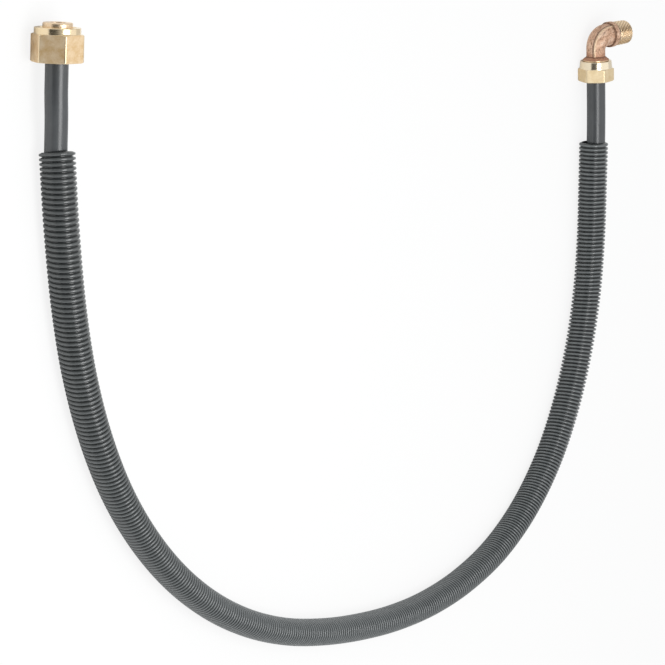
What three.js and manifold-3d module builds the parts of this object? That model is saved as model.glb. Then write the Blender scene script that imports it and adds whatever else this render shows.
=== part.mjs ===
// Flexible pipe for heating or water: a 16 mm plastic pipe inside a 25 mm corrugated conduit, lying in a wide U,
// with a union nut on one end and a threaded elbow on the other. Millimetres, +Z up, floor at Z = 0.
import * as THREE from 'three';
import { mergeVertices } from 'three/addons/utils/BufferGeometryUtils.js';
import Module from 'manifold-3d';

const wasm = await Module();
wasm.setup();

// Where the hose lies, seen from above: points chosen by hand, from the union end round to the elbow end.
const routePlan = [
  [-356.2, 182.1], [-354.1, 163.4], [-351.8, 145.6], [-343.6, 112.5], [-331.1, 59.3], [-315, 3.4],
  [-296.8, -43.1], [-272.9, -87.1], [-243.2, -127.4], [-207.7, -162.5], [-167.5, -192.1], [-123.4, -215.5],
  [-76.6, -232.5], [-28.1, -243.1], [21.7, -247.7], [71.7, -247.9], [121.4, -244.2], [170.6, -235.3],
  [218.1, -219.8], [262.8, -196.4], [301.2, -163.5], [331, -122.6], [350.9, -76.3], [362.1, -27.2],
  [365.6, 22.8], [362.2, 72.7], [354.8, 121], [349.3, 154.1], [344.4, 179], [339, 203.1],
  [336.3, 215.1],
];

// Gaps between pieces that touch or slide.
const seatGap = 0.3;

// Plastic pipe, 16 x 2.
const pipeDiameter = 16;
const pipeWall = 2;
const pipeSides = 12;
const pipeInUnion = 10;          // how far the pipe goes into the union nut
const pipeInElbow = 8;
const straightUnionEnd = 35;     // the pipe is straight over this much of its union end, so the nut can slide

// Corrugated conduit, 25 mm outside. Each ridge here stands for two of the real one's, at 3.3 mm.
const conduitDiameter = 25;
const conduitBore = 20.8;
const ridgeDepth = 1.5;
const ridgePitch = 6.6;
const conduitSides = 10;
const wallStep = 26;             // between two sections of the plain inner wall and of the pipe
const barePipeAtUnion = 62.5;
const barePipeAtElbow = 56.6;
const bendFlattening = 0.15;     // the bend squeezes the conduit's width by this share at its middle

// How the pipe lies in the conduit.
const pipeDrop = 0.8;            // below the conduit's middle
const pipeSideShift = 1.25;      // pressed to the outer wall near both mouths
const dropLength = 50;           // the pipe comes down from the union over this length
const riseLength = 80;           // and rises to the elbow over this length

// Union nut, inside thread G 3/4.
const unionNutFlats = 32;        // the collar is turned to the same width
const unionHexHeight = 19;
const unionCollarHeight = 4.4;
const unionThreadBore = 24.1;
const unionMouthChamfer = 1.2;

// Compression nut on the elbow.
const elbowNutFlats = 27;
const elbowHexHeight = 11.2;
const elbowCollarFoot = 28;
const elbowCollarTop = 26.9;
const elbowCollarHeight = 6.4;
const elbowThreadBore = 22.5;

// What both nuts have.
const nutRearHole = 17;
const nutChamfer = 1.3;          // turned off the hexagon's corners
const unionSeatStart = 3.2;      // where the cone for the clamp ring starts
const elbowSeatStart = 2;
const seatLength = 5.8;
const seatSlope = 0.5;           // radius gained along the cone
const turnedSides = 32;

// Clamp rings.
const ringSides = 24;
const ringBoreGap = 0.25;
const ringSplit = 1.6;

// Spigots in the pipe, and their O-rings.
const spigotDiameter = 11;
const spigotLength = 18;
const spigotChamfer = 0.5;
const waterway = 7;
const sealSection = 1;
const sealGrooveFloor = 8.4;
const sealGrooveWidth = 1.7;
const sealPlaces = [4, 9.5];     // from the spigot's free end to the middle of each groove
const sealSides = 16;
const sealRoundSides = 6;

// Union insert.
const insertFlangeDiameter = 22.8;
const insertFlangeLength = 3;
const insertHeadDiameter = 20.5;
const insertStandOut = 3.3;      // beyond the nut's mouth
const insertHeadRound = 1.1;
const insertBore = 11;
const insertBoreDepth = 12;
const coneSealSection = 1.5;
const coneSealGrooveFloor = 18;
const coneSealGrooveWidth = 2.1;
const coneSealFromEnd = 6.6;

// Elbow casting.
const elbowThreadDiameter = 21.8;
const flangeStart = 17.9;        // heights along the leg, from the nut's rear face
const flangeTop = 18.6;
const flangeShoulder = 20.6;
const flangeDiameter = 22.8;
const legDiameter = 16.2;
const cornerHeight = 38;
const bendRadius = 11;
const bendSteps = 6;
const bodyDiameter = 19;         // where the bend meets the shoulder
const shoulderStart = 14.8;      // distances along the outlet, from the leg's axis
const shoulderEnd = 19.2;
const shoulderDiameter = 22;
const shoulderRound = 0.5;
const neckDiameter = 19.4;
const outletThreadStart = 20.8;
const outletThreadDiameter = 20.96;   // R 1/2
const outletEnd = 35.8;
const outletChamfer = 1;
const outletBore = 15;
const outletBoreDepth = 15;
const bendBore = 10;
const outletRise = 13;           // degrees that the outlet points above the floor
const castingSides = 20;
const seamRadius = 1.1;
const seamAngle = 38;            // degrees from the back of the bend
const seamSteps = 10;
const seamSides = 6;

const pipeRadius = pipeDiameter / 2;
const conduitRadius = conduitDiameter / 2;
const unionHeight = unionNutFlats / 2;           // the nuts lie on the floor
const elbowHeight = Math.max(elbowNutFlats, elbowCollarFoot) / 2;

const brass = new THREE.MeshStandardMaterial({ color: '#c9a86e', roughness: 0.32, metalness: 1, flatShading: true });
const paleBrass = new THREE.MeshStandardMaterial({ color: '#dcc592', roughness: 0.35, metalness: 1, flatShading: true });
const gunmetal = new THREE.MeshStandardMaterial({ color: '#bd9276', roughness: 0.55, metalness: 1, flatShading: true });
const pipePlastic = new THREE.MeshStandardMaterial({ color: '#5f6163', roughness: 0.4, metalness: 0 });
const conduitPlastic = new THREE.MeshStandardMaterial({ color: '#55595a', roughness: 0.5, metalness: 0 });
const rubber = new THREE.MeshStandardMaterial({ color: '#1c1c1d', roughness: 0.8, metalness: 0 });

// Keeps only positions, joins what coincides and turns the faces outwards.
function closed(geometry) {
  geometry.deleteAttribute('normal');
  geometry.deleteAttribute('uv');
  const merged = mergeVertices(geometry, 1e-4);
  const index = merged.index.array;
  const [a, b, c] = [new THREE.Vector3(), new THREE.Vector3(), new THREE.Vector3()];
  let volume = 0;
  for (let i = 0; i < index.length; i += 3) {
    a.fromBufferAttribute(merged.attributes.position, index[i]);
    b.fromBufferAttribute(merged.attributes.position, index[i + 1]);
    c.fromBufferAttribute(merged.attributes.position, index[i + 2]);
    volume += a.dot(b.cross(c));
  }
  if (volume < 0) {
    for (let i = 0; i < index.length; i += 3) {
      [index[i + 1], index[i + 2]] = [index[i + 2], index[i + 1]];
    }
  }
  merged.computeVertexNormals();
  return merged;
}

function toSolid(geometry) {
  const vertProperties = new Float32Array(geometry.attributes.position.array);
  const triVerts = new Uint32Array(geometry.index.array);
  return new wasm.Manifold(new wasm.Mesh({ numProp: 3, vertProperties, triVerts }));
}

function toGeometry(solid) {
  const mesh = solid.getMesh();
  const geometry = new THREE.BufferGeometry();
  geometry.setAttribute('position', new THREE.BufferAttribute(mesh.vertProperties, 3));
  geometry.setIndex(new THREE.BufferAttribute(mesh.triVerts, 1));
  geometry.computeVertexNormals();
  return geometry;
}

// A turned form: the profile lists [radius, distance along the axis], and closes on itself unless it meets the axis.
function turned(profile, sides) {
  const points = profile.map(([radius, along]) => new THREE.Vector2(radius, along));
  const onAxis = profile[0][0] === 0 && profile.at(-1)[0] === 0;
  if (!onAxis) points.push(points[0].clone());
  return new THREE.LatheGeometry(points, sides);
}

// Moves every point of a turned form to where the path takes it.
function bend(geometry, place) {
  const position = geometry.attributes.position;
  const point = new THREE.Vector3();
  for (let i = 0; i < position.count; i += 1) {
    place(point.fromBufferAttribute(position, i));
    position.setXYZ(i, point.x, point.y, point.z);
  }
  return closed(geometry);
}

function smooth(share) {
  const t = THREE.MathUtils.clamp(share, 0, 1);
  return t * t * (3 - 2 * t);
}

const planCurve = new THREE.CatmullRomCurve3(routePlan.map(([x, y]) => new THREE.Vector3(x, y, 0)));
planCurve.arcLengthDivisions = 3000;
const routeLength = planCurve.getLength();
const conduitStart = pipeInUnion + barePipeAtUnion;
const conduitEnd = routeLength - pipeInElbow - barePipeAtElbow;
const conduitLength = conduitEnd - conduitStart;

// The place, the way on and the outer side of the bend at a distance along the route.
function routeFrame(distance) {
  const share = THREE.MathUtils.clamp(distance / routeLength, 0, 1);
  const along = planCurve.getTangentAt(share);
  const place = planCurve.getPointAt(share).addScaledVector(along, distance - share * routeLength);
  return { place, along, outer: new THREE.Vector3(along.y, -along.x, 0) };
}

// How far along the conduit, from 0 at one mouth to 1 at the other.
function conduitShare(distance) {
  return THREE.MathUtils.clamp((distance - conduitStart) / conduitLength, 0, 1);
}

// The bend squeezes the conduit's width and leaves its height.
function conduitWidth(distance) {
  return 1 - bendFlattening * Math.sin(Math.PI * conduitShare(distance));
}

function pipePlace(distance) {
  const outward = pipeSideShift * Math.cos(Math.PI * conduitShare(distance)) ** 2;
  const lying = conduitRadius - pipeDrop;
  const leaving = smooth((distance - straightUnionEnd) / dropLength);
  const arriving = smooth((distance - conduitEnd + riseLength) / riseLength);
  const height = lying + (unionHeight - lying) * (1 - leaving) + (elbowHeight - lying) * arriving;
  return { outward, height };
}

// Section distances shared by the pipe and the conduit's inner wall, so that their faces stay parallel.
function sections(from, to) {
  const inside = [];
  for (let distance = Math.ceil(from / wallStep) * wallStep; distance < to; distance += wallStep) {
    if (distance - from > 1 && to - distance > 1) inside.push(distance);
  }
  return [from, ...inside, to];
}

function innerPipe() {
  const from = 0;
  const to = routeLength;
  const bore = pipeRadius - pipeWall;
  const fine = [straightUnionEnd, straightUnionEnd + dropLength / 2, conduitStart, conduitEnd];
  const steps = [...sections(from, to), ...fine].sort((a, b) => a - b);
  const outside = steps.map((distance) => [pipeRadius, distance]);
  const inside = [...steps].reverse().map((distance) => [bore, distance]);
  return bend(turned([...outside, ...inside], pipeSides), (point) => {
    const { place, outer } = routeFrame(point.y);
    const { outward, height } = pipePlace(point.y);
    const [side, up] = [point.x, point.z];
    point.copy(place).addScaledVector(outer, outward + side);
    point.z = height + up;
  });
}

function corrugatedConduit() {
  const ridges = Math.round(conduitLength / ridgePitch);
  const pitch = conduitLength / ridges;
  const outside = [[conduitRadius - ridgeDepth, conduitStart]];
  for (let ridge = 0; ridge < ridges; ridge += 1) {
    outside.push([conduitRadius, conduitStart + (ridge + 0.5) * pitch]);
    outside.push([conduitRadius - ridgeDepth, conduitStart + (ridge + 1) * pitch]);
  }
  const inside = sections(conduitStart, conduitEnd).reverse().map((distance) => [conduitBore / 2, distance]);
  return bend(turned([...outside, ...inside], conduitSides), (point) => {
    const { place, outer } = routeFrame(point.y);
    const [side, up] = [point.x * conduitWidth(point.y), point.z];
    point.copy(place).addScaledVector(outer, side);
    point.z = conduitRadius + up;
  });
}

// A nut along +Y from its rear face: a chamfered hexagon lying on a flat, a round collar, and a turned hole.
function nut({ flats, hexHeight, collarFoot, collarTop, collarHeight, hole }) {
  const corner = flats / Math.sqrt(3);
  const edge = corner - nutChamfer;
  const drop = nutChamfer * 0.6;
  const hexagon = new THREE.CylinderGeometry(corner, corner, hexHeight, 6).rotateY(Math.PI / 6);
  hexagon.translate(0, hexHeight / 2, 0);
  const blank = turned([
    [0, -1], [edge - 1 / 0.6, -1], [corner + 0.1, drop + 0.06], [corner + 0.1, hexHeight - drop - 0.06],
    [edge - 1 / 0.6, hexHeight + 1], [0, hexHeight + 1],
  ], turnedSides);
  const collar = turned([
    [0, hexHeight - 1], [collarFoot, hexHeight - 1], [collarFoot, hexHeight],
    [collarTop, hexHeight + collarHeight - 0.4], [collarTop - 0.4, hexHeight + collarHeight],
    [0, hexHeight + collarHeight],
  ], turnedSides);
  const body = toSolid(closed(hexagon)).intersect(toSolid(closed(blank))).add(toSolid(closed(collar)));
  return toGeometry(body.subtract(toSolid(closed(turned(hole, turnedSides)))));
}

function unionNut() {
  const mouth = unionHexHeight + unionCollarHeight;
  const seatEnd = unionSeatStart + seatLength;
  const rear = nutRearHole / 2;
  const thread = unionThreadBore / 2;
  return nut({
    flats: unionNutFlats,
    hexHeight: unionHexHeight,
    collarFoot: unionNutFlats / 2,
    collarTop: unionNutFlats / 2,
    collarHeight: unionCollarHeight,
    hole: [
      [0, -1], [rear, -1], [rear, unionSeatStart], [rear + seatSlope * seatLength, seatEnd], [thread, seatEnd + 0.6],
      [thread, mouth - unionMouthChamfer], [thread + unionMouthChamfer, mouth], [thread + unionMouthChamfer, mouth + 1],
      [0, mouth + 1],
    ],
  });
}

function elbowNut() {
  const mouth = elbowHexHeight + elbowCollarHeight;
  const seatEnd = elbowSeatStart + seatLength;
  const rear = nutRearHole / 2;
  const thread = elbowThreadBore / 2;
  return nut({
    flats: elbowNutFlats,
    hexHeight: elbowHexHeight,
    collarFoot: elbowCollarFoot / 2,
    collarTop: elbowCollarTop / 2,
    collarHeight: elbowCollarHeight,
    hole: [
      [0, -1], [rear, -1], [rear, elbowSeatStart], [thread, seatEnd - 0.4], [thread, mouth + 1], [0, mouth + 1],
    ],
  });
}

// A split ring with a cone outside, from the seat's start to the pipe's end.
function clampRing(seatStart, pipeEnd) {
  const bore = pipeRadius + ringBoreGap;
  const start = seatStart + 2.4 * seatGap;
  const foot = nutRearHole / 2 + seatSlope * (start - seatStart) - 1.13 * seatGap;
  const coneEnd = pipeEnd - 1.2;
  const ring = turned([
    [bore, start], [foot, start], [foot + seatSlope * (coneEnd - start), coneEnd],
    [foot + seatSlope * (coneEnd - start), pipeEnd], [bore, pipeEnd],
  ], ringSides);
  const slit = new THREE.BoxGeometry(ringSplit, 4 * pipeEnd, pipeDiameter);
  slit.translate(0, 0, pipeRadius + bore / 2);
  return toGeometry(toSolid(closed(ring)).subtract(toSolid(closed(slit))));
}

function seal(middleRadius, sectionRadius, along) {
  const profile = [];
  for (let side = 0; side < sealRoundSides; side += 1) {
    const angle = (2 * Math.PI * side) / sealRoundSides;
    profile.push([middleRadius + sectionRadius * Math.cos(angle), along + sectionRadius * Math.sin(angle)]);
  }
  return closed(turned(profile, sealSides));
}

// The outside of a spigot with its two grooves, from its free end to the face that the pipe stops at.
function spigotProfile(freeEnd, face) {
  const radius = spigotDiameter / 2;
  const floor = sealGrooveFloor / 2;
  const half = sealGrooveWidth / 2;
  const grooves = sealPlaces.flatMap((place) => [
    [radius, freeEnd + place - half], [floor, freeEnd + place - half],
    [floor, freeEnd + place + half], [radius, freeEnd + place + half],
  ]);
  return [
    [waterway / 2, freeEnd], [radius - spigotChamfer, freeEnd], [radius, freeEnd + spigotChamfer],
    ...grooves, [radius, face],
  ];
}

function spigotSeal(freeEnd, place) {
  return seal(spigotDiameter / 2 - sealSection / 2, sealSection / 2, freeEnd + place);
}

const unionMouth = unionHexHeight + unionCollarHeight;
const insertEnd = unionMouth + insertStandOut;
const insertFace = pipeInUnion + seatGap;
const insertFreeEnd = insertFace - spigotLength;
const elbowFace = pipeInElbow + seatGap;
const elbowFreeEnd = elbowFace - spigotLength;

function unionInsert() {
  const flange = insertFlangeDiameter / 2;
  const head = insertHeadDiameter / 2;
  const groove = coneSealGrooveFloor / 2;
  const grooveMiddle = insertEnd - coneSealFromEnd;
  const flangeEnd = insertFace + insertFlangeLength;
  return closed(turned([
    ...spigotProfile(insertFreeEnd, insertFace),
    [flange - 0.4, insertFace], [flange, insertFace + 0.4], [flange, flangeEnd], [head, flangeEnd + 0.5],
    [head, grooveMiddle - coneSealGrooveWidth / 2], [groove, grooveMiddle - coneSealGrooveWidth / 2],
    [groove, grooveMiddle + coneSealGrooveWidth / 2], [head, grooveMiddle + coneSealGrooveWidth / 2],
    [head, insertEnd - insertHeadRound], [head - 0.3 * insertHeadRound, insertEnd - 0.3 * insertHeadRound],
    [head - insertHeadRound, insertEnd],
    [insertBore / 2, insertEnd], [insertBore / 2, insertEnd - insertBoreDepth],
    [waterway / 2, insertEnd - insertBoreDepth - 2],
  ], ringSides));
}

function unionConeSeal() {
  const middle = coneSealGrooveFloor / 2 + seatGap + coneSealSection / 2;
  return seal(middle, coneSealSection / 2, insertEnd - coneSealFromEnd);
}

// The elbow's centre line runs up the leg, round the corner and out along +X.
const bendStart = cornerHeight - bendRadius;
const bendLength = (bendRadius * Math.PI) / 2;
const outletOffset = bendStart + bendLength - bendRadius;    // from a distance on the outlet to one on the centre line

function elbowFrame(distance) {
  const angle = THREE.MathUtils.clamp((distance - bendStart) / bendRadius, 0, Math.PI / 2);
  const along = new THREE.Vector3(Math.sin(angle), Math.cos(angle), 0);
  const place = new THREE.Vector3(bendRadius * (1 - Math.cos(angle)), bendStart + bendRadius * Math.sin(angle), 0);
  const past = distance - bendStart - bendRadius * angle;
  return { place: place.addScaledVector(along, past), inner: new THREE.Vector3(along.y, -along.x, 0) };
}

function bodyRadius(distance) {
  const share = THREE.MathUtils.clamp((distance - bendStart) / bendLength, 0, 1);
  return THREE.MathUtils.lerp(legDiameter / 2, bodyDiameter / 2, share);
}

function placeOnElbow(point) {
  const { place, inner } = elbowFrame(point.y);
  const [side, up] = [point.x, point.z];
  point.copy(place).addScaledVector(inner, side);
  point.z = up;
}

// A raised line that follows the casting at one angle round it.
function castSeam(degrees) {
  const from = flangeShoulder;
  const to = shoulderStart + outletOffset + shoulderRound;
  const turn = THREE.MathUtils.degToRad(degrees);
  const profile = [[0, from]];
  for (let step = 0; step <= seamSteps; step += 1) {
    profile.push([seamRadius, THREE.MathUtils.lerp(from, to, step / seamSteps)]);
  }
  profile.push([0, to]);
  return bend(turned(profile, seamSides), (point) => {
    const reach = bodyRadius(point.y) - 0.25 * seamRadius;
    point.x += -reach * Math.cos(turn);
    point.z += reach * Math.sin(turn);
    placeOnElbow(point);
  });
}

function elbowBody() {
  const thread = elbowThreadDiameter / 2;
  const shoulder = shoulderDiameter / 2;
  const neck = neckDiameter / 2;
  const outlet = outletThreadDiameter / 2;
  const shoulderFrom = shoulderStart + outletOffset;
  const shoulderTo = shoulderEnd + outletOffset;
  const threadFrom = outletThreadStart + outletOffset;
  const end = outletEnd + outletOffset;
  const outside = [];
  const inside = [];
  for (let step = 0; step <= bendSteps; step += 1) {
    const distance = bendStart + (bendLength * step) / bendSteps;
    outside.push([bodyRadius(distance), distance]);
    inside.unshift([bendBore / 2, distance]);
  }
  const casting = bend(turned([
    ...spigotProfile(elbowFreeEnd, elbowFace),
    [thread - 0.5, elbowFace], [thread, elbowFace + 0.5], [thread, flangeStart],
    [flangeDiameter / 2, flangeStart], [flangeDiameter / 2, flangeTop],
    [legDiameter / 2 + 0.6, flangeShoulder], [legDiameter / 2, flangeShoulder + 0.8],
    ...outside,
    [bodyDiameter / 2, shoulderFrom], [shoulder - shoulderRound, shoulderFrom],
    [shoulder, shoulderFrom + shoulderRound], [shoulder, shoulderTo - shoulderRound],
    [shoulder - shoulderRound, shoulderTo], [neck, shoulderTo + 0.3], [neck, threadFrom - 0.4],
    [outlet, threadFrom + 0.3], [outlet, end - outletChamfer], [outlet - outletChamfer, end],
    [outletBore / 2, end], [outletBore / 2, end - outletBoreDepth], [bendBore / 2, end - outletBoreDepth - 2],
    ...inside,
    [bendBore / 2, flangeShoulder], [waterway / 2, flangeShoulder - 2],
  ], castingSides), placeOnElbow);
  const seams = toSolid(castSeam(seamAngle)).add(toSolid(castSeam(seamAngle + 180)));
  return toGeometry(toSolid(casting).add(seams));
}

function piece(name, geometry, material) {
  const mesh = new THREE.Mesh(geometry, material);
  mesh.name = name;
  return mesh;
}

// A group whose +Y leaves the pipe's end outwards, with 0 at the nut's rear face.
function fittingGroup(distance, inNut, outwards) {
  const { place, along, outer } = routeFrame(distance);
  const { outward, height } = pipePlace(distance);
  const way = along.clone().multiplyScalar(outwards);
  const group = new THREE.Group();
  group.position.copy(place).addScaledVector(outer, outward).addScaledVector(way, -inNut);
  group.position.z = height;
  group.rotation.z = Math.atan2(-way.x, way.y);
  return group;
}

const hose = new THREE.Group();
hose.add(piece('inner_pipe', innerPipe(), pipePlastic));
hose.add(piece('corrugated_conduit', corrugatedConduit(), conduitPlastic));

const union = fittingGroup(0, pipeInUnion, -1);
union.add(piece('union_nut', unionNut(), brass));
union.add(piece('union_insert', unionInsert(), gunmetal));
union.add(piece('union_clamp_ring', clampRing(unionSeatStart, pipeInUnion), brass));
union.add(piece('union_spigot_seal_a', spigotSeal(insertFreeEnd, sealPlaces[0]), rubber));
union.add(piece('union_spigot_seal_b', spigotSeal(insertFreeEnd, sealPlaces[1]), rubber));
union.add(piece('union_cone_seal', unionConeSeal(), rubber));

const elbow = fittingGroup(routeLength, pipeInElbow, 1);
const turnedElbow = new THREE.Group();
turnedElbow.rotation.y = THREE.MathUtils.degToRad(-outletRise);
turnedElbow.add(piece('elbow_body', elbowBody(), gunmetal));
elbow.add(turnedElbow);
elbow.add(piece('elbow_nut', elbowNut(), paleBrass));
elbow.add(piece('elbow_clamp_ring', clampRing(elbowSeatStart, pipeInElbow), brass));
elbow.add(piece('elbow_spigot_seal_a', spigotSeal(elbowFreeEnd, sealPlaces[0]), rubber));
elbow.add(piece('elbow_spigot_seal_b', spigotSeal(elbowFreeEnd, sealPlaces[1]), rubber));

hose.add(union, elbow);

// The origin is under the middle of the whole part, on the floor.
hose.updateMatrixWorld(true);
const middle = new THREE.Box3().setFromObject(hose, true).getCenter(new THREE.Vector3());
hose.position.set(-middle.x, -middle.y, 0);

const part = new THREE.Group();
part.name = 'flexible_pipe';
part.add(hose);
part.updateMatrixWorld(true);

export default part;
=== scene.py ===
import bpy
import numpy as np
from mathutils import Matrix, Vector


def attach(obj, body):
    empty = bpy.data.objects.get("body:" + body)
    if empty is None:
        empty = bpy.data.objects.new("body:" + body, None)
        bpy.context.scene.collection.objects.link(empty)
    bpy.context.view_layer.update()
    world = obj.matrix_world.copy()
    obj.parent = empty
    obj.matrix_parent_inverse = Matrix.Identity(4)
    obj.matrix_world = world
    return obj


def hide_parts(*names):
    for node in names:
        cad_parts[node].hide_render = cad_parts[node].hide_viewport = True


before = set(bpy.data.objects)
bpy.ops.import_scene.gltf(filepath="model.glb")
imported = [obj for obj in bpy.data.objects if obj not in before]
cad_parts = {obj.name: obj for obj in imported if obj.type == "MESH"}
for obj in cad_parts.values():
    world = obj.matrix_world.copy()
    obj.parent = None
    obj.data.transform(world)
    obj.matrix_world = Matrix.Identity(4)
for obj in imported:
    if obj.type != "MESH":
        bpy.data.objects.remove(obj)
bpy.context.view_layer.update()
print("frame loaded")

# Camera: a long lens that looks down on the floor, with the floor's up pointing right in the picture.
cameraView = {
    "lens": 160,
    "sensor": 36,
    "place": (-1.848903, 0.158926, 1.3408),
    "right": (0.587785, 0.103752, 0.802337),
    "up": (0.0, 0.991743, -0.128245),
    "forward": (0.809017, -0.075381, -0.582932),
    "clipEnd": 20,
}
cameraData = bpy.data.cameras.new("camera")
cameraData.lens = cameraView["lens"]
cameraData.sensor_width = cameraView["sensor"]
cameraData.clip_end = cameraView["clipEnd"]
camera = bpy.data.objects.new("camera", cameraData)
axes = [cameraView["right"], cameraView["up"], [-value for value in cameraView["forward"]]]
camera.matrix_world = Matrix.Translation(cameraView["place"]) @ Matrix(axes).transposed().to_4x4()
bpy.context.scene.collection.objects.link(camera)
bpy.context.scene.camera = camera
print("camera placed")

# Sizes are in millimetres, as in part.mjs; they become metres when a mesh is made.
toMetres = 0.001

# The route is seen from above, from the union end round to the elbow end.
route = {
    "points": [
        (-356.2, 182.1), (-354.1, 163.4), (-351.8, 145.6), (-343.6, 112.5), (-331.1, 59.3), (-315, 3.4),
        (-296.8, -43.1), (-272.9, -87.1), (-243.2, -127.4), (-207.7, -162.5), (-167.5, -192.1),
        (-123.4, -215.5), (-76.6, -232.5), (-28.1, -243.1), (21.7, -247.7), (71.7, -247.9), (121.4, -244.2),
        (170.6, -235.3), (218.1, -219.8), (262.8, -196.4), (301.2, -163.5), (331, -122.6), (350.9, -76.3),
        (362.1, -27.2), (365.6, 22.8), (362.2, 72.7), (354.8, 121), (349.3, 154.1), (344.4, 179),
        (339, 203.1), (336.3, 215.1),
    ],
    "shift": (-0.0867, -1.9452),
    "perSpan": 240,
}
pipe = {
    "radius": 8.0, "wall": 2.0, "inUnion": 10.0, "inElbow": 8.0, "straight": 35.0, "drop": 0.8,
    "sideShift": 1.25, "dropLength": 50.0, "riseLength": 80.0, "unionHeight": 16.0, "elbowHeight": 14.0,
    "step": 5.0, "sides": 48, "edge": 0.35, "edgeShare": 0.3,
}
conduit = {
    "radius": 12.5, "ridgeDepth": 2.2, "bore": 9.9, "wall": 0.5, "bareAtUnion": 61.3, "bareAtElbow": 53.6,
    "flattening": 0.15, "perRidge": 8, "sides": 28, "grooveSharpness": 2.8, "openRidges": 7,
    # legCrest is the painted light on the crests of the union's leg and the elbow's leg, and insideCrest
    # paints the inside dark, painted shade
    "slant": 2.2, "slantReach": 24.0, "slantAngle": 48.0, "legCrest": (0.75, 0.93), "insideCrest": 0.2,
    "finePoints": 4000, "plainRings": 80,
    # The rings lean on both legs: (share of its length, millimetres), towards an angle in degrees
    "leans": [(0, 0), (0.08, 0.9), (0.2, 0.9), (0.36, 0), (0.62, 0), (0.76, 1.1), (0.9, 1.1), (0.98, 0)],
    "leanAngles": [(0.3, -36.0), (0.7, 36.0)],
    # The ridges stand wider apart where the conduit is pulled: (share of its length, pitch)
    "pitches": [(0, 3.25), (0.04, 3.77), (0.08, 3.48), (0.17, 3.36), (0.26, 3.13), (0.4, 2.89), (0.54, 2.77),
                (0.67, 2.74), (0.73, 2.86), (0.8, 3.27), (0.9, 3.39), (1, 3.56)],
}


def centripetalCurve(points, perSpan):
    # Catmull-Rom spans: each is the cubic through its two points, whose end slopes weigh the
    # neighbouring chords by the square roots of their lengths.
    ends = np.vstack([2 * points[0] - points[1], points, 2 * points[-1] - points[-2]])
    p0, p1, p2, p3 = ends[:-3], ends[1:-2], ends[2:-1], ends[3:]
    pairs = ((p0, p1), (p1, p2), (p2, p3))
    d0, d1, d2 = (np.sqrt(np.linalg.norm(b - a, axis=1))[:, None] for a, b in pairs)
    slope1 = ((p1 - p0) / d0 - (p2 - p0) / (d0 + d1) + (p2 - p1) / d1) * d1
    slope2 = ((p2 - p1) / d1 - (p3 - p1) / (d1 + d2) + (p3 - p2) / d2) * d1
    t = np.linspace(0, 1, perSpan, endpoint=False)[:, None, None]
    square = -3 * p1 + 3 * p2 - 2 * slope1 - slope2
    cube = 2 * p1 - 2 * p2 + slope1 + slope2
    spans = p1 + slope1 * t + square * t ** 2 + cube * t ** 3
    return np.vstack([spans.transpose(1, 0, 2).reshape(-1, 2), points[-1:]])


routeLine = centripetalCurve(np.array(route["points"]), route["perSpan"]) + np.array(route["shift"])
routeDistance = np.concatenate([[0], np.cumsum(np.linalg.norm(np.diff(routeLine, axis=0), axis=1))])
routeTangent = np.gradient(routeLine, routeDistance, axis=0)
routeLength = routeDistance[-1]
conduitStart = pipe["inUnion"] + conduit["bareAtUnion"]
conduitEnd = routeLength - pipe["inElbow"] - conduit["bareAtElbow"]
conduitLength = conduitEnd - conduitStart
print(f"route {routeLength:.1f} mm, conduit {conduitLength:.1f} mm")


def routeFrame(distance):
    # The place on the route, the way on, and the outer side of the bend, which is the way on turned right.
    place = np.stack([np.interp(distance, routeDistance, routeLine[:, k]) for k in (0, 1)], -1)
    along = np.stack([np.interp(distance, routeDistance, routeTangent[:, k]) for k in (0, 1)], -1)
    along = along / np.linalg.norm(along, axis=-1, keepdims=True)
    return place, along, np.stack([along[..., 1], -along[..., 0]], -1)


def smoothStep(share):
    t = np.clip(share, 0, 1)
    return t * t * (3 - 2 * t)


def conduitShare(distance):
    return np.clip((distance - conduitStart) / conduitLength, 0, 1)


def conduitWidth(distance):
    # The bend squeezes the conduit's width by f sin(pi share) and leaves its height.
    return 1 - conduit["flattening"] * np.sin(np.pi * conduitShare(distance))


def pipePlace(distance):
    # Sideways c cos^2(pi share); the height comes down from the union and rises to the elbow.
    outward = pipe["sideShift"] * np.cos(np.pi * conduitShare(distance)) ** 2
    lying = conduit["radius"] - pipe["drop"]
    leaving = smoothStep((distance - pipe["straight"]) / pipe["dropLength"])
    arriving = smoothStep((distance - conduitEnd + pipe["riseLength"]) / pipe["riseLength"])
    height = lying + (pipe["unionHeight"] - lying) * (1 - leaving) + (pipe["elbowHeight"] - lying) * arriving
    return outward, height


def evenAngles(columns):
    return np.linspace(0, 2 * np.pi, columns, endpoint=False)


def tube(radius, distance, sides, width, height, outward, middle):
    # side = radius width sin(angle) + outward, up = radius height cos(angle) + middle, for each ring.
    angle = evenAngles(sides)
    place, _, outer = routeFrame(distance)
    side = (radius * width)[:, None] * np.sin(angle) + outward[:, None]
    up = (radius * height)[:, None] * np.cos(angle) + middle[:, None]
    grid = np.empty((len(distance), sides, 3))
    grid[..., :2] = place[:, None] + side[..., None] * outer[:, None]
    grid[..., 2] = up
    straight = np.stack([radius[:, None] * np.sin(angle), np.repeat(distance[:, None], sides, 1),
                         radius[:, None] * np.cos(angle)], -1)
    return grid, straight


# Materials

def linearColour(text):
    # sRGB hex to the linear values that the shaders take.
    values = np.array([int(text[k:k + 2], 16) / 255 for k in (1, 3, 5)])
    linear = np.where(values <= 0.04045, values / 12.92, ((values + 0.055) / 1.055) ** 2.4)
    return (*linear, 1.0)


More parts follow.
